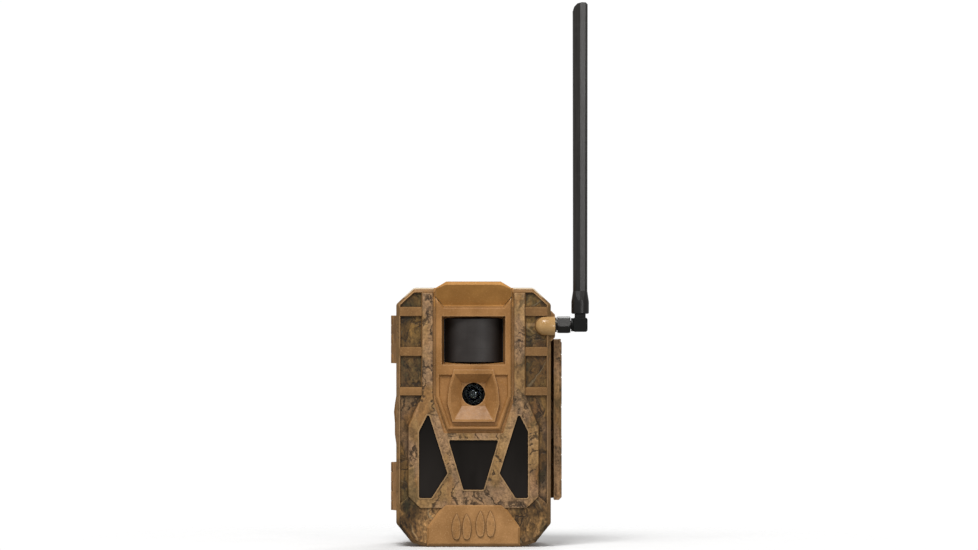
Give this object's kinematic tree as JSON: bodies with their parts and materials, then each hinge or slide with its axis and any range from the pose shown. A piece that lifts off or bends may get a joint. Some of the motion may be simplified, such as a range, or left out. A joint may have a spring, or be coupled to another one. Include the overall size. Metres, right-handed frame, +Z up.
{
  "type": "trail camera",
  "caption": "Camouflaged trail camera with a hinged front cover, long side latch, motion sensor window, infrared windows and a swivelling whip antenna.",
  "frame": {"origin": "mouth of the tripod socket, in the middle of the flat underside", "axes": "+Z up along the antenna, the lens looks along -Y, +X to the viewer's right when facing the lens"},
  "size_m": [0.1116, 0.078, 0.3057],
  "materials": {
    "shell_front": "matte",
    "shell_rear": "matte",
    "bezel_tan": "satin",
    "lever": "matte",
    "black_plastic": "matte",
    "smoked_window": "gloss",
    "fresnel": "satin",
    "optical_glass": "gloss",
    "seal_rubber": "matte",
    "pcb": "satin",
    "chip": "satin",
    "steel": "brushed",
    "plated": "polished",
    "gold_brass": "polished",
    "led_resin": "gloss",
    "cell_sleeve": "gloss",
    "screen": "gloss",
    "panel_grey": "matte",
    "key_cap": "matte",
    "card_plastic": "satin",
    "antenna_sheath": "satin"
  },
  "bodies": {
    "housing": {"rear_housing": "shell_rear", "housing_gasket": "seal_rubber", "hinge_pins": "steel", "tripod_insert": "gold_brass", "dc_jack": "black_plastic", "battery_cradle": "black_plastic", "battery_cells": "cell_sleeve", "battery_springs": "steel", "contact_plates": "plated", "contact_pins": "gold_brass", "tree_bracket": "shell_rear", "latch_pin": "steel", "housing_screws": "steel"},
    "cover": {"front_cover": "shell_front", "sensor_bezel": "bezel_tan", "pir_lens": "fresnel", "pir_sensor": "plated", "lens_window": "optical_glass", "lens_seal": "seal_rubber", "lens_barrel": "black_plastic", "lens_elements": "optical_glass", "lens_holder": "black_plastic", "image_sensor": "chip", "ir_window_left": "smoked_window", "ir_window_centre": "smoked_window", "ir_window_right": "smoked_window", "ir_leds": "led_resin", "led_board": "pcb", "main_board": "pcb", "board_chips": "chip", "cell_modem": "plated", "sma_jack": "gold_brass", "antenna_pigtail": "black_plastic", "inner_panel": "panel_grey", "screen_glass": "screen", "screen_module": "black_plastic", "board_switches": "black_plastic", "sd_socket": "plated", "sim_tray": "plated", "contact_pads": "gold_brass", "panel_screws": "steel", "board_screws": "steel"},
    "latch_lever": {"latch": "lever"},
    "flap": {"dc_flap": "seal_rubber"},
    "coupling_nut": {"antenna_nut": "black_plastic"},
    "antenna_base": {"antenna_elbow": "black_plastic", "antenna_ferrule": "gold_brass", "antenna_pivot_pin": "steel"},
    "antenna": {"antenna_whip": "antenna_sheath", "antenna_element": "gold_brass"},
    "ir_filter": {"filter_shuttle": "black_plastic", "filter_glass": "optical_glass"},
    "mode_knob": {"switch_knob": "black_plastic"},
    "memory_card": {"sd_card": "card_plastic"},
    "sim": {"sim_card": "card_plastic"},
    "button_ok": {"key_ok": "key_cap"},
    "button_up": {"key_up": "key_cap"},
    "button_down": {"key_down": "key_cap"},
    "button_left": {"key_left": "key_cap"},
    "button_right": {"key_right": "key_cap"}
  },
  "joints": [
    {"name": "cover_hinge", "type": "hinge", "parent": "housing", "child": "cover", "pos_m": [-0.044, -0.00815, 0.0745], "axis": [0, 0, -1], "range_deg": [0, 115]},
    {"name": "latch_turn", "type": "hinge", "parent": "housing", "child": "latch_lever", "pos_m": [0.047, 0.012, 0.071], "axis": [0, 0, 1], "range_deg": [0, 110]},
    {"name": "flap_turn", "type": "hinge", "parent": "housing", "child": "flap", "pos_m": [-0.0219, 0.009, 0.0007], "axis": [0, 1, 0], "range_deg": [0, 100]},
    {"name": "nut_spin", "type": "hinge", "parent": "cover", "child": "coupling_nut", "pos_m": [0.05, -0.03, 0.1247], "axis": [1, 0, 0], "continuous": true},
    {"name": "antenna_swivel", "type": "hinge", "parent": "cover", "child": "antenna_base", "pos_m": [0.055, -0.03, 0.1247], "axis": [1, 0, 0], "continuous": true},
    {"name": "antenna_tilt", "type": "hinge", "parent": "antenna_base", "child": "antenna", "pos_m": [0.05985, -0.03, 0.1247], "axis": [0, 1, 0], "range_deg": [0, 90]},
    {"name": "filter_slide", "type": "slide", "parent": "cover", "child": "ir_filter", "axis": [1, 0, 0], "range_m": [0, 0.0064]},
    {"name": "mode_slide", "type": "slide", "parent": "cover", "child": "mode_knob", "axis": [1, 0, 0], "range_m": [-0.004, 0.004]},
    {"name": "card_eject", "type": "slide", "parent": "cover", "child": "memory_card", "axis": [0, 0, -1], "range_m": [0, 0.006]},
    {"name": "sim_eject", "type": "slide", "parent": "cover", "child": "sim", "axis": [0, 0, -1], "range_m": [0, 0.005]},
    {"name": "press_ok", "type": "slide", "parent": "cover", "child": "button_ok", "axis": [0, -1, 0], "range_m": [0, 0.0005], "stiffness_N_per_m": 1500},
    {"name": "press_up", "type": "slide", "parent": "cover", "child": "button_up", "axis": [0, -1, 0], "range_m": [0, 0.0005], "stiffness_N_per_m": 1500},
    {"name": "press_down", "type": "slide", "parent": "cover", "child": "button_down", "axis": [0, -1, 0], "range_m": [0, 0.0005], "stiffness_N_per_m": 1500},
    {"name": "press_left", "type": "slide", "parent": "cover", "child": "button_left", "axis": [0, -1, 0], "range_m": [0, 0.0005], "stiffness_N_per_m": 1500},
    {"name": "press_right", "type": "slide", "parent": "cover", "child": "button_right", "axis": [0, -1, 0], "range_m": [0, 0.0005], "stiffness_N_per_m": 1500}
  ]
}
